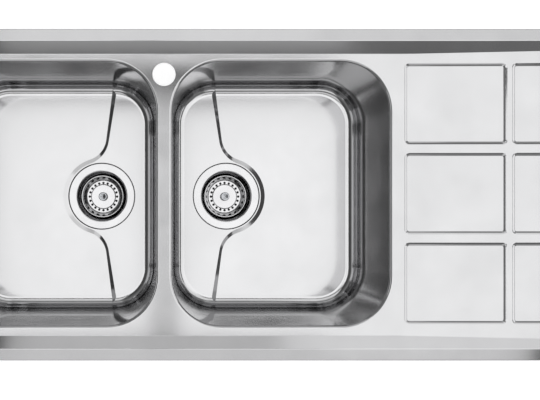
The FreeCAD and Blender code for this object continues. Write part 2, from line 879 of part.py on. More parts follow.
def make_flange(name, x):
    """Stainless flange and cup, pressed from one sheet."""
    body = new_body(name)
    thick = size.flange_sheet
    outer = size.flange_radius
    wall_top = size.cup_radius
    wall_low = size.cup_radius - size.cup_lean
    dimple = size.cup_dimple_radius
    dimple_rim = dimple + size.cup_dimple_depth / 2
    points = [
        (outer, flange_top),
        (wall_top, flange_top),
        (wall_low, cup_floor),
        (dimple_rim, cup_floor),
        (dimple, dimple_z),
        (screw_bore, dimple_z),
        (screw_bore, dimple_z - thick),
        (dimple + thick, dimple_z - thick),
        (dimple_rim + thick, cup_floor - thick),
        (wall_low + thick, cup_floor - thick),
        (wall_top + thick, flange_under),
        (outer, flange_under),
    ]
    revolve(body, "Cup", points)
    bends = {
        "LipBend": (size.cup_bend, wall_top, flange_top),
        "LipBendUnder": (size.cup_bend - thick, wall_top + thick, flange_under),
        "FootBend": (size.cup_bend, wall_low, cup_floor),
        "FootBendUnder": (size.cup_bend + thick, wall_low + thick, cup_floor - thick),
        "EdgeBend": (size.flange_edge_bend, outer, flange_top),
    }
    for bend, (radius, at_radius, height) in bends.items():
        round_edges(body, bend, radius, lambda edge: is_ring(edge, at_radius, height))
    top = cup_floor + thick
    depth = thick * 3
    drill_ring(body, "Drain", size.cup_hole_radius, size.cup_hole_circle, size.cup_hole_count, top, depth)
    return at_drain(body, x, name)


def make_waste_body(name, x):
    """Lower body with a threaded outlet, and a boss on ribs for the central screw."""
    body = new_body(name)
    wall = size.body_wall
    inner = size.body_radius - wall
    barrel_low = body_top - size.body_depth
    cone_low = barrel_low - size.body_floor_drop
    tail_low = cone_low - size.tail_length
    bore = size.tail_radius - size.tail_wall
    points = [
        (inner, body_top),
        (size.body_flange_radius, body_top),
        (size.body_flange_radius, body_top - size.body_flange),
        (size.body_radius, body_top - size.body_flange),
        (size.body_radius, barrel_low),
        (size.tail_radius, cone_low),
        (size.tail_radius, tail_low),
        (bore, tail_low),
        (bore, cone_low + wall),
        (inner, barrel_low + wall),
    ]
    revolve(body, "Barrel", points)
    boss = circle_sketch(body, "BossSketch", size.boss_radius, z=boss_top)
    pad(body, "Boss", boss, size.boss_length, down=True)
    reach = inner + wall / 2
    half_rib = size.rib_width / 2
    for label, half_x, half_y in (("RibsLong", reach, half_rib), ("RibsWide", half_rib, reach)):
        sketch = new_sketch(body, f"{label}Sketch")
        draw_polygon(sketch, [(-half_x, -half_y), (half_x, -half_y), (half_x, half_y), (-half_x, half_y)])
        place(sketch, "AttachmentOffset", z=boss_top - size.rest_gap)
        pad(body, label, sketch, size.rib_height, down=True)
    bore_sketch = circle_sketch(body, "ScrewBoreSketch", screw_bore, z=boss_top + size.overrun)
    pocket(body, "ScrewBore", bore_sketch, size.boss_length + size.overrun * 2)
    return at_drain(body, x, name)


def make_waste_screw(name, x):
    """Central screw with a domed head and a round drive."""
    body = new_body(name)
    shank = size.waste_screw_radius
    head = size.waste_screw_head
    top = dimple_z + size.waste_screw_head_height
    tip = dimple_z - size.waste_screw_length
    drive = size.drive_radius
    points = [
        (ZERO, tip),
        (shank, tip),
        (shank, dimple_z),
        (head, dimple_z),
        (head, top),
        (drive, top),
        (drive, top - size.drive_depth),
        (ZERO, top - size.drive_depth),
    ]
    revolve(body, "Screw", points)
    dome = size.waste_screw_head_height / 2
    round_edges(body, "HeadDome", dome, lambda edge: is_ring(edge, head, top))
    return at_drain(body, x, name)


# Baskets: the strainer that lifts out of each cup

seal_low = cup_floor + size.rest_gap
basket_under = seal_low + size.seal_height
basket_floor = basket_under + size.basket_sheet
basket_top = basket_floor + size.basket_depth
dish_top = basket_floor + size.dish_rise


def make_basket(name, x):
    """Strainer cup with a raised middle and a ring of small holes."""
    body = new_body(name)
    thick = size.basket_sheet
    rim = size.basket_rim_radius
    wall_top = rim - size.basket_rim_width
    wall_low = size.basket_floor_radius
    dish = size.dish_radius
    dish_foot = dish + size.dish_run
    bore = size.knob_screw_radius + size.running_gap
    points = [
        (rim, basket_top),
        (wall_top, basket_top),
        (wall_low, basket_floor),
        (dish_foot, basket_floor),
        (dish, dish_top),
        (bore, dish_top),
        (bore, dish_top - thick),
        (dish, dish_top - thick),
        (dish_foot, basket_under),
        (wall_low + thick, basket_under),
        (wall_top + thick, basket_top - thick),
        (rim, basket_top - thick),
    ]
    revolve(body, "Cup", points)
    bends = {
        "RimBend": (size.basket_bend, wall_top, basket_top),
        "RimBendUnder": (size.basket_bend - thick, wall_top + thick, basket_top - thick),
        "FootBend": (size.basket_bend, wall_low, basket_floor),
        "FootBendUnder": (size.basket_bend + thick, wall_low + thick, basket_under),
    }
    for bend, (radius, at_radius, height) in bends.items():
        round_edges(body, bend, radius, lambda edge: is_ring(edge, at_radius, height))
    holes = size.basket_hole_radius, size.basket_hole_circle, size.basket_hole_count
    drill_ring(body, "Strainer", *holes, basket_floor + thick, thick * 3)
    return at_drain(body, x, name)


def make_basket_seal(name, x):
    """Rubber stopper under the basket that closes the cup's holes when it is pressed down."""
    body = new_body(name)
    bore = size.knob_screw_head + size.rest_gap
    crown = dish_top - size.basket_sheet
    brim = basket_under - size.seal_water_gap
    points = [
        (bore, crown),
        (size.seal_waist, crown),
        (size.seal_waist, brim),
        (size.seal_outer - size.seal_lip, brim),
        (size.seal_outer, brim - size.seal_lip),
        (size.seal_outer, seal_low + size.seal_lip),
        (size.seal_outer - size.seal_lip, seal_low),
        (bore, seal_low),
    ]
    revolve(body, "Seal", points)
    return at_drain(body, x, name)


def make_knob(name, x):
    """Pull with a round cap on a narrower neck, and a blind bore for its screw."""
    body = new_body(name)
    top = dish_top + size.knob_height
    cap_low = top - size.knob_cap
    foot_top = dish_top + size.knob_foot_height
    bore = size.knob_screw_radius + size.running_gap
    bore_top = dish_top + size.knob_screw_length
    neck = size.knob_neck
    points = [
        (bore, dish_top),
        (size.knob_foot, dish_top),
        (size.knob_foot, foot_top),
        (neck, foot_top + size.knob_bend),
        (neck, cap_low - size.knob_bend),
        (size.knob_radius, cap_low),
        (size.knob_radius, top),
        (size.knob_dish, top),
        (ZERO, top - size.knob_dish_depth),
        (ZERO, bore_top),
        (bore, bore_top),
    ]
    revolve(body, "Knob", points)
    cap = size.knob_radius
    round_edges(body, "CapBend", size.knob_bend, lambda edge: is_ring(edge, cap, top))
    return at_drain(body, x, name)


def make_knob_screw(name, x):
    """Small pan-head screw that holds the pull from below the basket."""
    body = new_body(name)
    shank = size.knob_screw_radius
    head = size.knob_screw_head
    under = dish_top - size.basket_sheet
    low = under - size.knob_screw_head_height
    tip = dish_top + size.knob_screw_length - size.rest_gap
    points = [(ZERO, low), (head, low), (head, under), (shank, under), (shank, tip), (ZERO, tip)]
    revolve(body, "Screw", points)
    dome = size.knob_screw_head_height / 2
    round_edges(body, "HeadDome", dome, lambda edge: is_ring(edge, head, low))
    return at_drain(body, x, name)


def make_waste(side, x):
    gasket_outer = size.flange_radius - size.gasket
    body_gasket_top = seat_z - size.sheet
    make_flange(f"{side}_waste_flange", x)
    ring(f"{side}_flange_gasket", x, size.gasket_inner, gasket_outer, seat_z, flange_under)
    ring(f"{side}_body_gasket", x, size.gasket_inner, size.body_flange_radius, body_top, body_gasket_top)
    make_waste_body(f"{side}_waste_body", x)
    make_waste_screw(f"{side}_waste_screw", x)
    make_basket(f"{side}_basket", x)
    make_basket_seal(f"{side}_basket_seal", x)
    make_knob(f"{side}_basket_knob", x)
    make_knob_screw(f"{side}_knob_screw", x)


# Foam strip under the rim


def make_rim_seal():
    strip = new_body("rim_strip")
    sketch = new_sketch(strip, "Strip")
    for inset in (size.seal_from_edge, size.seal_from_edge + size.seal_width):
        length = size.sink_length - inset * 2
        width = size.sink_width - inset * 2
        draw_rounded_rectangle(sketch, length, width, size.outer_corner - inset)
    pad(strip, "Strip", sketch, size.ridge_height)
    keep(combine("Common", "rim_seal", strip, deck_under))


# Clamps: along the edge is +X and outwards is +Y in each clamp's own frame

claw_z = -size.claw_depth
clamp_columns = 4
column_step = (size.sink_length - size.clamp_margin * 2) / (clamp_columns - 1)
slope_ratio = (size.ridge_height + size.deck_drop) / size.slope_band


def clamp_places():
    """Each clamp's screw axis, and the turn that points its +Y at the outer edge."""
    back = half_width - size.clamp_axis
    end = half_length - size.clamp_axis
    quarter = size.sink_width / 4
    places = []
    for column in range(clamp_columns):
        x = column_step * column - half_length + size.clamp_margin
        places.append((x, back, 0))
        places.append((x, -back, 180))
    for y in (-quarter, quarter):
        places.append((end, y, -90))
        places.append((-end, y, 90))
    return places


def at_clamp(body, spot):
    x, y, turn = spot
    up = Vector(0, 0, 1)
    body.Placement = Placement(Vector(number_of(x), number_of(y), 0), Rotation(up, turn))
    bind(body, **{"Placement.Base.x": x, "Placement.Base.y": y})
    return body


def under_slope(inset):
    """Height of the sheet's under face on the rim's inner slope, at an inset from the edge."""
    return size.ridge_height - size.sheet - (inset - size.rim_band) * slope_ratio


def make_bracket(label, spot):
    """Folded bracket, spot-welded under the rim's slope, threaded for the clamp screw."""
    body = new_body(label)
    sketch = new_sketch(body, "Profile", "YZ_Plane")
    thick = size.bracket_sheet
    inner_y = size.clamp_axis - size.bracket_inner
    outer_y = size.clamp_axis - size.bracket_outer
    low = -size.bracket_drop
    points = [
        (outer_y, under_slope(size.bracket_outer)),
        (inner_y, under_slope(size.bracket_inner)),
        (inner_y, low),
        (outer_y, low),
        (outer_y, low + thick),
        (inner_y + thick, low + thick),
        (inner_y + thick, under_slope(size.bracket_inner - thick) - thick),
        (outer_y, under_slope(size.bracket_outer) - thick),
    ]
    draw_polygon(sketch, points)
    strip = body.newObject("PartDesign::Pad", "Strip")
    strip.Profile = sketch
    strip.Midplane = True
    bind(strip, Length=size.bracket_width)
    bore = circle_sketch(body, "BoreSketch", size.clamp_screw_radius + size.running_gap, z=low + thick * 2)
    pocket(body, "Bore", bore, thick * 3)
    return at_clamp(body, spot)


def make_clamp_screw(label, spot):
    body = new_body(label)
    shank = size.clamp_screw_radius
    head = size.clamp_screw_head
    head_top = claw_z - size.rest_gap
    head_low = head_top - size.clamp_screw_head_height
    tip = -size.clamp_screw_tip
    drive = size.drive_radius
    points = [
        (ZERO, head_low + size.drive_depth),
        (drive, head_low + size.drive_depth),
        (drive, head_low),
        (head, head_low),
        (head, head_top),
        (shank, head_top),
        (shank, tip),
        (ZERO, tip),
    ]
    revolve(body, "Screw", points)
    dome = size.clamp_screw_head_height / 3
    round_edges(body, "HeadDome", dome, lambda edge: is_ring(edge, head, head_low))
    return at_clamp(body, spot)


def make_claw(name, spot):
    """Claw that swings about its screw, with an upturned toothed end."""
    body = new_body(name)
    half = size.claw_width / 2
    length = size.clamp_reach + half
    corner = half - size.running_gap * 2
    plan = new_sketch(body, "Plan")
    draw_rounded_rectangle(plan, length, size.claw_width, corner, size.clamp_reach / 2 - half / 2)
    place(plan, "AttachmentOffset", z=claw_z)
    pad(body, "Arm", plan, size.claw_sheet)
    teeth = new_sketch(body, "TeethProfile", "YZ_Plane")
    root = claw_z + size.claw_sheet
    tip = root + size.claw_tooth
    valley = root + size.claw_tooth / 2
    tooth_shares = (-0.6, -0.3, 0, 0.3, 0.6)
    crest = [(half * share, valley if index % 2 else tip) for index, share in enumerate(tooth_shares)]
    draw_polygon(teeth, [(half * tooth_shares[-1], claw_z), (half * tooth_shares[0], claw_z)] + crest)
    place(teeth, "AttachmentOffset", z=size.clamp_reach - size.claw_sheet * 2)
    pad(body, "Teeth", teeth, size.claw_sheet)
    bore = circle_sketch(body, "BoreSketch", size.clamp_screw_radius + size.running_gap, z=tip)
    pocket(body, "Bore", bore, tip - claw_z + size.overrun)
    return keep(at_clamp(body, spot), name)


def make_clamps():
    brackets = []
    screws = []
    for number, spot in enumerate(clamp_places(), start=1):
        brackets.append(make_bracket(f"bracket_{number:02d}", spot))
        screws.append(make_clamp_screw(f"screw_{number:02d}", spot))
        make_claw(f"clamp_claw_{number:02d}", spot)
    for name, items in (("clamp_brackets", brackets), ("clamp_screws", screws)):
        group = doc.addObject("Part::Compound", name)
        group.Links = items
        keep(group, name)


outer_bowl = make_bowls()
make_sound_pads(outer_bowl)
make_waste("right", drain_x)
make_waste("left", left_drain_x)
make_rim_seal()
make_clamps()

# Checks, and one file for each piece

doc.recompute()
os.makedirs("parts", exist_ok=True)
for item in doc.Objects:
    if "Invalid" in item.State or "Error" in item.State:
        raise RuntimeError(f"{item.Label} failed: {item.State}")
for node in nodes:
    shape = node.Shape
    if shape.isNull() or not shape.isValid():
        raise RuntimeError(f"{node.Label} has no valid shape")
for node in nodes:
    node.Shape.exportStep(f"parts/{node.Label}.step")
    print(node.Label, len(node.Shape.Solids), round(node.Shape.Volume), node.Shape.BoundBox)
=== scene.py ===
import math

import bpy
from mathutils import Matrix, Vector


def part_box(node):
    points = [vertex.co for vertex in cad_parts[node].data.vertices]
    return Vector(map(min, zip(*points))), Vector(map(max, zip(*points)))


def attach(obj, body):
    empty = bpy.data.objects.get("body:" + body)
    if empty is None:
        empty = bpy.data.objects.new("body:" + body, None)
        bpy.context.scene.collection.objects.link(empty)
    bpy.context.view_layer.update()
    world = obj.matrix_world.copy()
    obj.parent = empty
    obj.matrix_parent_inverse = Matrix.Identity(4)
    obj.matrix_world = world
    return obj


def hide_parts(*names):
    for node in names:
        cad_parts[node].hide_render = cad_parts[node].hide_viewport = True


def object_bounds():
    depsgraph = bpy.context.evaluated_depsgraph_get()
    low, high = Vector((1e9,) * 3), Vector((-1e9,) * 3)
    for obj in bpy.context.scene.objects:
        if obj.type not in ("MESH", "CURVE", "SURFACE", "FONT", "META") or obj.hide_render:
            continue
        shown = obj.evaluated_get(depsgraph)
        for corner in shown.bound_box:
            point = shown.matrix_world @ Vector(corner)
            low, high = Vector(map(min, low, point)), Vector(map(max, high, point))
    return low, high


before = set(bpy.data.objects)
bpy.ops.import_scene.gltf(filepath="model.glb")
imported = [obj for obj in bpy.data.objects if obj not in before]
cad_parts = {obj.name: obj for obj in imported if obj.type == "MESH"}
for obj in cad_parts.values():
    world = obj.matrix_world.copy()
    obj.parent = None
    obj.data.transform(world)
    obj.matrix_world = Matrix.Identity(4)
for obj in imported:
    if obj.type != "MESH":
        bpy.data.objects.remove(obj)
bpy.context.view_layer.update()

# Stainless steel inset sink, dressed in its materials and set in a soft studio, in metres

scene = bpy.context.scene
bpy.ops.object.select_all(action="DESELECT")

# Camera: straight down over the tap hole's line, shifted to the photo's frame

shot = {
    "imageWidth": 540,
    "imageHeight": 400,
    "overX": -0.183,
    "overY": -0.026,
    "height": 1.10,
    "metresPerPixel": 0.001512,
    "centreX": 164,
    "centreY": 212,
    "sensor": 36.0,
    "nearest": 0.01,
    "farthest": 50.0,
}


def placeCamera():
    data = bpy.data.cameras.new("shotCamera")
    camera = bpy.data.objects.new("shotCamera", data)
    scene.collection.objects.link(camera)
    camera.location = (shot["overX"], shot["overY"], shot["height"])
    data.sensor_width = shot["sensor"]
    data.lens = shot["height"] * shot["sensor"] / (shot["imageWidth"] * shot["metresPerPixel"])
    data.shift_x = (shot["imageWidth"] / 2 - shot["centreX"]) / shot["imageWidth"]
    data.shift_y = (shot["centreY"] - shot["imageHeight"] / 2) / shot["imageWidth"]
    data.clip_start = shot["nearest"]
    data.clip_end = shot["farthest"]
    scene.camera = camera


placeCamera()
print("camera placed")

# Materials: helpers


# sRGB hex colour to the linear one that shaders take
def linearColour(hexCode):
    channels = []
    for start in (0, 2, 4):
        value = int(hexCode[start:start + 2], 16) / 255
        channels.append(value / 12.92 if value <= 0.04045 else ((value + 0.055) / 1.055) ** 2.4)
    return (*channels, 1.0)


# A node with its settings; each input takes a value, or a link when it is given a socket
def addNode(tree, kind, inputs=None, **settings):
    node = tree.nodes.new(kind)
    for name, value in settings.items():
        setattr(node, name, value)
    for name, value in (inputs or {}).items():
        if isinstance(value, bpy.types.NodeSocket):
            tree.links.new(value, node.inputs[name])
        else:
            node.inputs[name].default_value = value
    return node


# An empty material, its node tree and the place on the object that its patterns read
def newMaterial(name):
    material = bpy.data.materials.new(name)
    material.use_nodes = True
    tree = material.node_tree
    tree.nodes.clear()
    place = addNode(tree, "ShaderNodeTexCoord").outputs["Object"]
    return material, tree, place


noiseForm = {"detail": 3.0, "grainDetail": 2.0, "roughness": 0.55}


# Noise whose features are about that size in metres
def noise(tree, place, size, detail=noiseForm["detail"]):
    inputs = {"Vector": place, "Scale": 1 / size, "Detail": detail, "Roughness": noiseForm["roughness"]}
    return addNode(tree, "ShaderNodeTexNoise", inputs).outputs["Fac"]


# Spreads a pattern's middle range between two values
def spread(tree, value, low, high, start=0.3, end=0.7):
    inputs = {"Value": value, "From Min": start, "From Max": end, "To Min": low, "To Max": high}
    return addNode(tree, "ShaderNodeMapRange", inputs).outputs["Result"]


# A Mix node's sockets go by number, as their names repeat: factor 0, values 2 and 3, colours 6 and 7
def blendTones(tree, factor, look):
    tones = {0: factor, 6: linearColour(look["dark"]), 7: linearColour(look["pale"])}
    return addNode(tree, "ShaderNodeMix", data_type="RGBA", inputs=tones).outputs[2]


def finishMaterial(tree, surface):
    shader = addNode(tree, "ShaderNodeBsdfPrincipled", surface)
    addNode(tree, "ShaderNodeOutputMaterial", {"Surface": shader.outputs["BSDF"]})


# Materials: the real ones


# Stainless steel: a fine grain along one way, and a slow change of gloss as cloths leave it
def makeSteel(name, look):
    material, tree, place = newMaterial(name)
    pitch = look["grainPitch"]
    scale = (1 / (pitch * look["grainRatio"]), 1 / pitch, 1 / pitch)
    stretched = addNode(tree, "ShaderNodeMapping", {"Vector": place, "Scale": scale})
    grain = noise(tree, stretched.outputs["Vector"], 1.0, noiseForm["grainDetail"])
    cloud = noise(tree, place, look["cloudSize"])
    relief = {"Height": grain, "Strength": look["relief"], "Distance": look["grainDepth"]}
    bump = addNode(tree, "ShaderNodeBump", relief)
    finishMaterial(tree, {
        "Base Color": blendTones(tree, spread(tree, cloud, 0.0, 1.0), look),
        "Metallic": 1.0,
        "Roughness": spread(tree, cloud, look["roughLow"], look["roughHigh"]),
        "Normal": bump.outputs["Normal"],
    })
    return material


# A moulded or cast material: two close tones, an uneven gloss and a fine relief
def makeSolid(name, look):
    material, tree, place = newMaterial(name)
    cells = addNode(tree, "ShaderNodeTexVoronoi", {"Vector": place, "Scale": 1 / look["cellSize"]})
    grain = noise(tree, place, look["grainSize"])
    heights = {0: look["cellShare"], 2: grain, 3: cells.outputs["Distance"]}
    height = addNode(tree, "ShaderNodeMix", heights).outputs[0]
    relief = {"Height": height, "Strength": look["relief"], "Distance": look["reliefDepth"]}
    bump = addNode(tree, "ShaderNodeBump", relief)
    finishMaterial(tree, {
        "Base Color": blendTones(tree, spread(tree, grain, 0.0, 1.0), look),
        "Metallic": look["metallic"],
        "Roughness": spread(tree, grain, look["roughLow"], look["roughHigh"]),
        "IOR": look["ior"],
        "Normal": bump.outputs["Normal"],
    })
    return material


# Bitumen damping pad: dark and dull, embossed with a waffle of small squares
def makePad(name, look):
    material, tree, place = newMaterial(name)
    parts = addNode(tree, "ShaderNodeSeparateXYZ", {"Vector": place})
    ridges = []
    for side in ("X", "Y"):
        repeat = {0: parts.outputs[side], 1: look["pitch"]}
        folded = addNode(tree, "ShaderNodeMath", repeat, operation="PINGPONG")
        start, end = (look["pitch"] * share for share in look["ridge"])
        ridges.append(spread(tree, folded.outputs[0], 0.0, 1.0, start, end))
    waffle = addNode(tree, "ShaderNodeMath", {0: ridges[0], 1: ridges[1]}, operation="MINIMUM").outputs[0]
    grain = noise(tree, place, look["grainSize"])
    relief = {"Height": waffle, "Strength": look["relief"], "Distance": look["reliefDepth"]}
    bump = addNode(tree, "ShaderNodeBump", relief)
    finishMaterial(tree, {
        "Base Color": blendTones(tree, spread(tree, grain, 0.0, 1.0), look),
        "Roughness": spread(tree, grain, look["roughLow"], look["roughHigh"]),
        "Normal": bump.outputs["Normal"],
    })
    return material


materials = {
    # 304 stainless with a fine satin finish: pale and even, with soft reflections
    "pressed_steel": makeSteel("satinStainless", {
        "dark": "bababb", "pale": "c2c2c3", "roughLow": 0.09, "roughHigh": 0.13,
        "grainPitch": 0.0006, "grainRatio": 60, "grainDepth": 0.000002, "relief": 0.1, "cloudSize": 0.09,
    }),
    # stainless turned and buffed: a near mirror, with sharper reflections than the sheet
    "polished_steel": makeSteel("polishedStainless", {
        "dark": "bebebf", "pale": "c6c6c7", "roughLow": 0.08, "roughHigh": 0.12,
        "grainPitch": 0.0004, "grainRatio": 20, "grainDepth": 0.000002, "relief": 0.2, "cloudSize": 0.03,
    }),
    # chrome on a small turned pull, its tone painted darker than the polished steel as painted shade that
    # dims its highlight
    "knob_metal": makeSteel("chromedPullWithPaintedShade", {
        "dark": "a4a6a9", "pale": "b2b4b7", "roughLow": 0.12, "roughHigh": 0.18,
        "grainPitch": 0.0003, "grainRatio": 10, "grainDepth": 0.000001, "relief": 0.2, "cloudSize": 0.01,
    }),
    # mill-finished folded sheet, duller than the top
    "bracket_steel": makeSteel("millSteel", {
        "dark": "b4b5b6", "pale": "c6c7c8", "roughLow": 0.36, "roughHigh": 0.46,
        "grainPitch": 0.0005, "grainRatio": 30, "grainDepth": 0.000006, "relief": 0.4, "cloudSize": 0.012,
    }),
    # bright zinc plate: bluish, with a faint spangle
    "zinc": makeSolid("zincPlate", {
        "dark": "a9b0b6", "pale": "c3c9cf", "roughLow": 0.28, "roughHigh": 0.42,
        "metallic": 1.0, "ior": 1.5,
        "cellSize": 0.0025, "grainSize": 0.003, "cellShare": 0.5, "relief": 0.15, "reliefDepth": 0.00005,
    }),
    # black nitrile rubber with a moulded skin
    "gasket_rubber": makeSolid("nitrileRubber", {
        "dark": "151516", "pale": "202022", "roughLow": 0.5, "roughHigh": 0.65,
        "metallic": 0.0, "ior": 1.52,
        "cellSize": 0.0008, "grainSize": 0.0006, "cellShare": 0.3, "relief": 0.25, "reliefDepth": 0.00004,
    }),
    # grey closed-cell foam strip: matt, with a pebbled skin
    "foam": makeSolid("closedCellFoam", {
        "dark": "6c6e70", "pale": "8b8d8f", "roughLow": 0.85, "roughHigh": 0.95,
        "metallic": 0.0, "ior": 1.4,
        "cellSize": 0.0011, "grainSize": 0.002, "cellShare": 0.8, "relief": 0.8, "reliefDepth": 0.0003,
    }),
    # white polypropylene, moulded: a soft gloss that scuffs unevenly
    "waste_plastic": makeSolid("whitePolypropylene", {
        "dark": "dcdcd8", "pale": "e6e6e2", "roughLow": 0.34, "roughHigh": 0.46,
        "metallic": 0.0, "ior": 1.49,
        "cellSize": 0.0009, "grainSize": 0.0015, "cellShare": 0.3, "relief": 0.15, "reliefDepth": 0.00005,
    }),
    # bitumen sheet, pressed with a waffle 8 mm apart; ridge: where its flank starts and ends in a pitch
    "damping_pad": makePad("bitumenPad", {
        "dark": "2b2b2d", "pale": "3d3d3f", "roughLow": 0.7, "roughHigh": 0.9,
        "pitch": 0.008, "ridge": (0.12, 0.3), "grainSize": 0.0012, "relief": 0.8, "reliefDepth": 0.0006,
    }),
}

# Slot of each CAD node by the end of its name; the claws are numbered and go by its start
slotOfEnding = {
    "deck": "pressed_steel",
    "bowl": "pressed_steel",
    "waste_flange": "polished_steel",
    "basket": "polished_steel",
    "waste_screw": "polished_steel",
    "knob_screw": "polished_steel",
    "basket_knob": "knob_metal",
    "clamp_brackets": "bracket_steel",
    "clamp_screws": "zinc",
    "gasket": "gasket_rubber",
    "basket_seal": "gasket_rubber",
    "rim_seal": "foam",
    "sound_pad": "damping_pad",
    "waste_body": "waste_plastic",
}


def slotOf(name):
    if name.startswith("clamp_claw"):
        return "zinc"
    fitting = [ending for ending in slotOfEnding if name.endswith(ending)]
    return slotOfEnding[max(fitting, key=len)]


def paint(piece, slotName):
    piece.data.materials.clear()
    piece.data.materials.append(materials[slotName])


for nodeName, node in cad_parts.items():
    paint(node, slotOf(nodeName))

print("materials made")

# Modelling: helpers

modelling = {"mergeDistance": 0.000002, "startSize": 0.001, "smoothAngle": 35}


# Leaves the mesh in edit mode merged, with its faces turned outwards
def closeSkin():
    bpy.ops.mesh.select_all(action="SELECT")
    bpy.ops.mesh.remove_doubles(threshold=modelling["mergeDistance"])
    bpy.ops.mesh.normals_make_consistent(inside=False)


# A chain of (radius, height) points beside Z, each extruded from the one before it
def drawChain(name, points):
    bpy.ops.object.select_all(action="DESELECT")
    bpy.ops.mesh.primitive_plane_add(size=modelling["startSize"], location=(0, 0, 0))
    piece = bpy.context.object
    piece.name = name
    bpy.ops.object.mode_set(mode="EDIT")
    bpy.ops.mesh.select_all(action="SELECT")
    bpy.ops.mesh.merge(type="CENTER")
    bpy.ops.transform.translate(value=(points[0][0], 0, points[0][1]))
    for start, end in zip(points, points[1:]):
        step = (end[0] - start[0], 0, end[1] - start[1])
        bpy.ops.mesh.extrude_vertices_move(TRANSFORM_OT_translate={"value": step})
    bpy.ops.object.mode_set(mode="OBJECT")
    return piece


# A piece turned round Z from the outline beside it
def turnPiece(name, points, steps):
    piece = drawChain(name, points)
    bpy.ops.object.mode_set(mode="EDIT")
    bpy.ops.mesh.select_all(action="SELECT")
    bpy.ops.mesh.spin(steps=steps, angle=math.tau, center=(0, 0, 0), axis=(0, 0, 1))
    closeSkin()
    bpy.ops.object.mode_set(mode="OBJECT")
    return piece


# Where the crest starts and ends in a pitch, and the turns that are cut away at the ends
threadForm = {"crestStart": 0.42, "crestEnd": 0.58, "spareTurns": 2}


# A thread wound from one pitch of its flank, then cut level; a capWidth leaves its ends open inside
def windThread(name, look):
    pitch, low = look["pitch"], look["low"] - look["pitch"]
    root, crest = look["root"], look["crest"]
    flank = [(root, 0), (crest, threadForm["crestStart"]), (crest, threadForm["crestEnd"]), (root, 1)]
    piece = drawChain(name, [(radius, low + share * pitch) for radius, share in flank])
    wind = piece.modifiers.new("wind", "SCREW")
    wind.screw_offset = pitch
    wind.iterations = math.ceil((look["high"] - look["low"]) / pitch) + threadForm["spareTurns"]
    wind.steps = wind.render_steps = look["steps"]
    wind.use_merge_vertices = True
    bpy.ops.object.modifier_apply(modifier="wind")
    bpy.ops.object.mode_set(mode="EDIT")
    closeSkin()
    for height, way in ((look["low"], -1), (look["high"], 1)):
        cut = {"plane_co": (0, 0, height), "plane_no": (0, 0, way)}
        bpy.ops.mesh.select_all(action="SELECT")
        bpy.ops.mesh.bisect(use_fill=True, clear_outer=True, **cut)
        if "capWidth" in look:
            bpy.ops.mesh.inset(thickness=look["capWidth"])
            bpy.ops.mesh.delete(type="FACE")
    closeSkin()
    bpy.ops.object.mode_set(mode="OBJECT")
    return piece


# One piece from several, under that name
def joinPieces(name, pieces):
    bpy.ops.object.select_all(action="DESELECT")
    for piece in pieces:
        piece.select_set(True)
    bpy.context.view_layer.objects.active = pieces[0]
    bpy.ops.object.join()
    pieces[0].name = name
    return pieces[0]


# Copies of a piece, each with its own mesh, moved or turned by a matrix
def copyPiece(piece, moves):
    copies = []
    for move in moves:
        twin = piece.copy()
        twin.data = piece.data.copy()
        twin.data.transform(move)
        scene.collection.objects.link(twin)
        copies.append(twin)
    bpy.data.objects.remove(piece)
    return copies


# Smooths a piece, gives it its finish and its body, and hides the nodes that it stands in for
def settle(piece, slotName, *nodes):
    bpy.ops.object.select_all(action="DESELECT")
    piece.select_set(True)
    bpy.context.view_layer.objects.active = piece
    bpy.ops.object.shade_smooth_by_angle(angle=math.radians(modelling["smoothAngle"]))
    paint(piece, slotName)
    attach(piece, "sink")
    if nodes:
        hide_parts(*nodes)


# Clamp screws: pan heads with a cross recess below, on a threaded shank

clampScrew = {
    "thread": {
        "root": 0.00205, "crest": 0.0025, "pitch": 0.0008, "low": -0.0464, "high": -0.008, "steps": 12,
    },
    "headRadius": 0.0048,
    "headTop": -0.0463,
    "headLow": -0.0499,
    "headSteps": 28,
    "sideShare": 0.35,
    "domeFullness": 0.6,
    "domeSteps": 6,
    "recessLength": 0.0048,
    "recessWidth": 0.0011,
    "recessDepth": 0.0018,
    "recessTaper": 0.6,
    "columns": (-0.485, -0.161667, 0.161667, 0.485),
    "rowY": 0.222,
    "endX": 0.552,
    "endY": 0.125,
}


def makeScrewHead():
    radius, top, low = clampScrew["headRadius"], clampScrew["headTop"], clampScrew["headLow"]
    side = (top - low) * clampScrew["sideShare"]
    fullness, steps = clampScrew["domeFullness"], clampScrew["domeSteps"]
    dome = [
        (radius * math.cos(angle) ** fullness, top - side - (top - low - side) * math.sin(angle))
        for angle in (math.radians(90 / steps * step) for step in range(steps))
    ]
    points = [(0, top), (radius, top), *dome, (0, low)]
    head = turnPiece("screwHead", points, clampScrew["headSteps"])
    blades = []
    for turn in (0, 1):
        length, width, depth = (clampScrew[part] for part in ("recessLength", "recessWidth", "recessDepth"))
        bpy.ops.object.select_all(action="DESELECT")
        bpy.ops.mesh.primitive_cube_add(size=1, location=(0, 0, low))
        blade = bpy.context.object
        blade.scale = (width, length, depth * 2) if turn else (length, width, depth * 2)
        bpy.ops.object.transform_apply(location=True, scale=True)
        for vertex in blade.data.vertices:
            if vertex.co.z > low:
                vertex.co.x *= clampScrew["recessTaper"]
                vertex.co.y *= clampScrew["recessTaper"]
        blades.append(blade)
    for blade in blades:
        carve = head.modifiers.new("carve", "BOOLEAN")
        carve.object = blade
        bpy.context.view_layer.objects.active = head
        bpy.ops.object.modifier_apply(modifier="carve")
        bpy.data.objects.remove(blade)
    return head


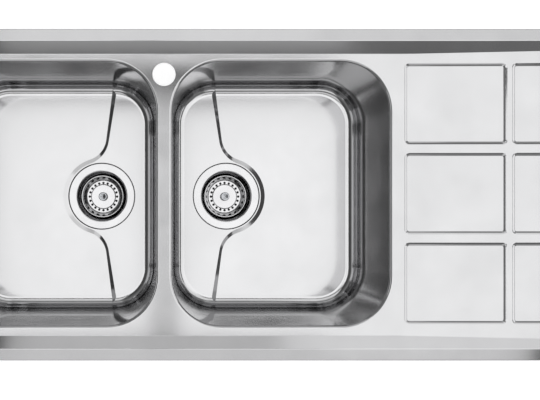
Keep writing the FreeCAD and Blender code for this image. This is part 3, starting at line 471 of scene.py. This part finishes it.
def makeClampScrews():
    screw = joinPieces("screw", [windThread("screwThread", clampScrew["thread"]), makeScrewHead()])
    rowY, endX, endY = clampScrew["rowY"], clampScrew["endX"], clampScrew["endY"]
    spots = [(x, y) for x in clampScrew["columns"] for y in (-rowY, rowY)]
    spots += [(x, y) for x in (-endX, endX) for y in (-endY, endY)]
    moves = [Matrix.Translation((x, y, 0)) for x, y in spots]
    settle(joinPieces("clampScrewSet", copyPiece(screw, moves)), "zinc", "clamp_screws")


makeClampScrews()
print("clamp screws made")

# Waste bodies: moulded barrels with fins, a threaded tail and a boss on ribs for the central screw

wasteBody = {
    "barrel": [
        (0.0449, -0.1914), (0.0552, -0.1914), (0.056, -0.1922), (0.056, -0.1946), (0.0552, -0.1954),
        (0.0487, -0.1954), (0.0475, -0.1966), (0.0475, -0.2400), (0.0466, -0.2418), (0.0250, -0.2510),
        (0.0230, -0.2526), (0.0230, -0.2746), (0.0222, -0.2754), (0.0209, -0.2754), (0.0209, -0.2488),
        (0.0449, -0.2388),
    ],
    "steps": 96,
    "thread": {
        "root": 0.0228, "crest": 0.0239, "pitch": 0.0023, "low": -0.2752, "high": -0.2538,
        "steps": 72, "capWidth": 0.0011,
    },
    "boss": [
        (0.0031, -0.2316), (0.0069, -0.2316), (0.0075, -0.2322), (0.0075, -0.2450),
        (0.0069, -0.2456), (0.0031, -0.2456),
    ],
    "bossSteps": 40,
    "ribCount": 4,
    "ribWidth": 0.003,
    "ribHeights": (-0.2399, -0.2319),
    "ribFoot": 0.0065,
    "ribReach": 0.0462,
    "finCount": 24,
    "finWidth": 0.0022,
    "finFoot": 0.0465,
    "finReachTop": 0.0524,
    "finReachLow": 0.0486,
    "finEdge": 0.0005,
    "finEdgeSteps": 2,
    "finHeights": (-0.2380, -0.1950),
    "axes": {"left": -0.293, "right": -0.073},
    "axisY": 0.002,
}


# A plate that stands out from Z along +X, between two reaches and two heights
def makePlate(name, width, nearReach, farReach, heights):
    low, high = heights
    bpy.ops.object.select_all(action="DESELECT")
    bpy.ops.mesh.primitive_cube_add(size=1, location=((nearReach + farReach) / 2, 0, (low + high) / 2))
    plate = bpy.context.object
    plate.name = name
    plate.scale = (farReach - nearReach, width, high - low)
    bpy.ops.object.transform_apply(location=True, scale=True)
    return plate


def softenEdges(piece, width, segments):
    soften = piece.modifiers.new("soften", "BEVEL")
    soften.width = width
    soften.segments = segments
    soften.limit_method = "ANGLE"
    bpy.context.view_layer.objects.active = piece
    bpy.ops.object.modifier_apply(modifier="soften")


# Turns a piece into a ring of that many copies round Z
def ringOf(piece, count):
    return copyPiece(piece, [Matrix.Rotation(math.tau / count * turn, 4, "Z") for turn in range(count)])


def makeWasteBody():
    barrel = turnPiece("barrel", wasteBody["barrel"] + wasteBody["barrel"][:1], wasteBody["steps"])
    boss = turnPiece("boss", wasteBody["boss"] + wasteBody["boss"][:1], wasteBody["bossSteps"])
    thread = windThread("tailThread", wasteBody["thread"])

    foot, reach = wasteBody["ribFoot"], wasteBody["ribReach"]
    rib = makePlate("rib", wasteBody["ribWidth"], foot, reach, wasteBody["ribHeights"])
    ribs = ringOf(rib, wasteBody["ribCount"])

    foot, reach, lowReach = (wasteBody[part] for part in ("finFoot", "finReachTop", "finReachLow"))
    fin = makePlate("fin", wasteBody["finWidth"], foot, reach, wasteBody["finHeights"])
    for vertex in fin.data.vertices:
        if vertex.co.z < sum(wasteBody["finHeights"]) / 2 and vertex.co.x > lowReach:
            vertex.co.x = lowReach
    softenEdges(fin, wasteBody["finEdge"], wasteBody["finEdgeSteps"])
    fins = ringOf(fin, wasteBody["finCount"])
    return joinPieces("wasteBody", [barrel, boss, thread, *ribs, *fins])


def makeWasteBodies():
    axes = wasteBody["axes"]
    moves = [Matrix.Translation((x, wasteBody["axisY"], 0)) for x in axes.values()]
    for side, piece in zip(axes, copyPiece(makeWasteBody(), moves)):
        piece.name = f"{side}WasteBody"
        settle(piece, "waste_plastic", f"{side}_waste_body")


makeWasteBodies()
print("waste bodies made")

# Weld beads round the joint of each bowl and the deck's lip, seen from below

weldBead = {"radius": 0.0008, "roundness": 2, "corner": 0.0758, "cornerSteps": 16, "height": -0.0087}

# The joint is ground, so it is duller and warmer than the sheet, with a coarse relief
seamMaterial = makeSteel("groundSeam", {
    "dark": "9b968f", "pale": "b3afa9", "roughLow": 0.3, "roughHigh": 0.45,
    "grainPitch": 0.0008, "grainRatio": 1, "grainDepth": 0.0002, "relief": 0.6, "cloudSize": 0.006,
})


def makeWeldBead(side):
    low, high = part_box(f"{side}_bowl")
    middle = ((low[0] + high[0]) / 2, (low[1] + high[1]) / 2, weldBead["height"])
    bpy.ops.object.select_all(action="DESELECT")
    bpy.ops.mesh.primitive_plane_add(size=1, location=middle)
    bead = bpy.context.object
    bead.name = f"{side}WeldBead"
    bead.scale = (high[0] - low[0], high[1] - low[1], 1)
    bpy.ops.object.transform_apply(location=True, scale=True)
    bpy.ops.object.mode_set(mode="EDIT")
    bpy.ops.mesh.select_all(action="SELECT")
    corner = {"offset": weldBead["corner"], "segments": weldBead["cornerSteps"]}
    bpy.ops.mesh.bevel(affect="VERTICES", **corner)
    bpy.ops.mesh.select_all(action="SELECT")
    bpy.ops.mesh.delete(type="ONLY_FACE")
    bpy.ops.object.mode_set(mode="OBJECT")
    bpy.ops.object.convert(target="CURVE")
    bead = bpy.context.object
    bead.data.bevel_depth = weldBead["radius"]
    bead.data.bevel_resolution = weldBead["roundness"]
    bpy.ops.object.convert(target="MESH")
    bead = bpy.context.object
    settle(bead, "pressed_steel")
    bead.data.materials[0] = seamMaterial


for bowlSide in ("left", "right"):
    makeWeldBead(bowlSide)
print("weld beads made")

# Floor, lights and surroundings

studio = {
    "floorSize": 30.0,
    "floorColour": "f4f4f4",
    "glow": 0.58,
    "lightHeight": 6.0,
    "worldGrey": 0.12,
    "horizonGrey": 0.66,
    "horizonTop": 0.8,
}

# Softboxes high overhead: the degrees that each spans as seen from the camera's foot, and its radiance
softboxes = {
    "keyLeft": {"across": (-16.5, -1.3), "along": (-12, 10.5), "radiance": 1.54},
    "keyMiddle": {"across": (-1.3, 1.3), "along": (-12, 10.5), "radiance": 0.7},
    "keyRight": {"across": (1.3, 15), "along": (-12, 10.5), "radiance": 1.54},
    "overTap": {"across": (-16.5, 15), "along": (13.6, 15.4), "radiance": 1.65},
    "right": {"across": (15, 41), "along": (-21, 21), "radiance": 1.41},
    "back": {"across": (-17.5, 14), "along": (21, 33), "radiance": 1.15},
    "backRight": {"across": (14, 52), "along": (21, 46), "radiance": 1.05},
    "backFar": {"across": (-18, 14), "along": (33, 46), "radiance": 0.7},
    "front": {"across": (-17.5, 32), "along": (-33, -17.5), "radiance": 0.92},
    "frontMiddle": {"across": (-18, 20), "along": (-38, -33), "radiance": 0.5},
    "frontRight": {"across": (20, 44), "along": (-39, -33), "radiance": 0.1},
    "farFront": {"across": (-32, 26), "along": (-62, -47), "radiance": 0.72},
}

# Upright softboxes round the sink, turned that many degrees from +X
uprights = {
    "rightUpright": {"turn": 0, "radiance": 1.2},
    "backUpright": {"turn": 90, "radiance": 0.35},
    "leftUpright": {"turn": 180, "radiance": 0.45},
    "frontUpright": {"turn": 270, "radiance": 0.3},
}
uprightSize = {"distance": 7.5, "width": 6.0, "low": 0.5, "high": 5.5}


# Pale studio paper that shows white, and still takes the object's shadow
def makePaper():
    material, tree, _ = newMaterial("paleFloor")
    ray = addNode(tree, "ShaderNodeLightPath")
    rays = {0: ray.outputs["Is Camera Ray"], 1: ray.outputs["Is Glossy Ray"]}
    seen = addNode(tree, "ShaderNodeMath", rays, operation="MAXIMUM")
    diffuse = addNode(tree, "ShaderNodeBsdfDiffuse", {"Color": linearColour(studio["floorColour"])})
    glow = addNode(tree, "ShaderNodeEmission", {"Strength": studio["glow"]})
    lit = addNode(tree, "ShaderNodeAddShader", {0: diffuse.outputs["BSDF"], 1: glow.outputs["Emission"]})
    mix = {0: seen.outputs[0], 1: diffuse.outputs["BSDF"], 2: lit.outputs["Shader"]}
    both = addNode(tree, "ShaderNodeMixShader", mix)
    addNode(tree, "ShaderNodeOutputMaterial", {"Surface": both.outputs["Shader"]})
    return material


def layFloor():
    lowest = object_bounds()[0][2]
    bpy.ops.mesh.primitive_plane_add(size=studio["floorSize"], location=(0, 0, lowest))
    floor = bpy.context.object
    floor.name = "floor"
    bpy.ops.object.transform_apply(location=True)
    floor.data.materials.append(makePaper())


layFloor()


def addSoftbox(name, size, radiance, location):
    light = bpy.data.lights.new(name, "AREA")
    light.shape = "RECTANGLE"
    light.size, light.size_y = size
    light.energy = radiance * math.pi * light.size * light.size_y
    lamp = bpy.data.objects.new(name, light)
    lamp.location = location
    scene.collection.objects.link(lamp)
    return lamp


def hangSoftbox(name, box):
    rise = studio["lightHeight"]
    left, right = (shot["overX"] + rise * math.tan(math.radians(angle)) for angle in box["across"])
    near, far = (shot["overY"] + rise * math.tan(math.radians(angle)) for angle in box["along"])
    middle = ((left + right) / 2, (near + far) / 2, rise)
    addSoftbox(name, (right - left, far - near), box["radiance"], middle)


def standSoftbox(name, box):
    turn = math.radians(box["turn"])
    bottom, top = uprightSize["low"], uprightSize["high"]
    away = Vector((math.cos(turn), math.sin(turn), 0)) * uprightSize["distance"]
    middle = away + Vector((0, 0, (bottom + top) / 2))
    lamp = addSoftbox(name, (uprightSize["width"], top - bottom), box["radiance"], middle)
    lamp.rotation_euler = away.to_track_quat("Z", "Y").to_euler()


for boxName, box in softboxes.items():
    hangSoftbox(boxName, box)
for boxName, box in uprights.items():
    standSoftbox(boxName, box)


# Dim room that grows paler towards the horizon, which the sink mirrors when seen from the side
def makeRoom():
    room = bpy.data.worlds.new("room")
    room.use_nodes = True
    tree = room.node_tree
    tree.nodes.clear()
    way = addNode(tree, "ShaderNodeTexCoord").outputs["Generated"]
    height = addNode(tree, "ShaderNodeSeparateXYZ", {"Vector": way}).outputs["Z"]
    grey, pale = studio["worldGrey"], studio["horizonGrey"]
    level = spread(tree, height, pale, grey, 0.0, studio["horizonTop"])
    back = addNode(tree, "ShaderNodeBackground", {"Strength": level})
    addNode(tree, "ShaderNodeOutputWorld", {"Surface": back.outputs["Background"]})
    scene.world = room


makeRoom()
scene.view_settings.view_transform = "Standard"
print("studio lit")
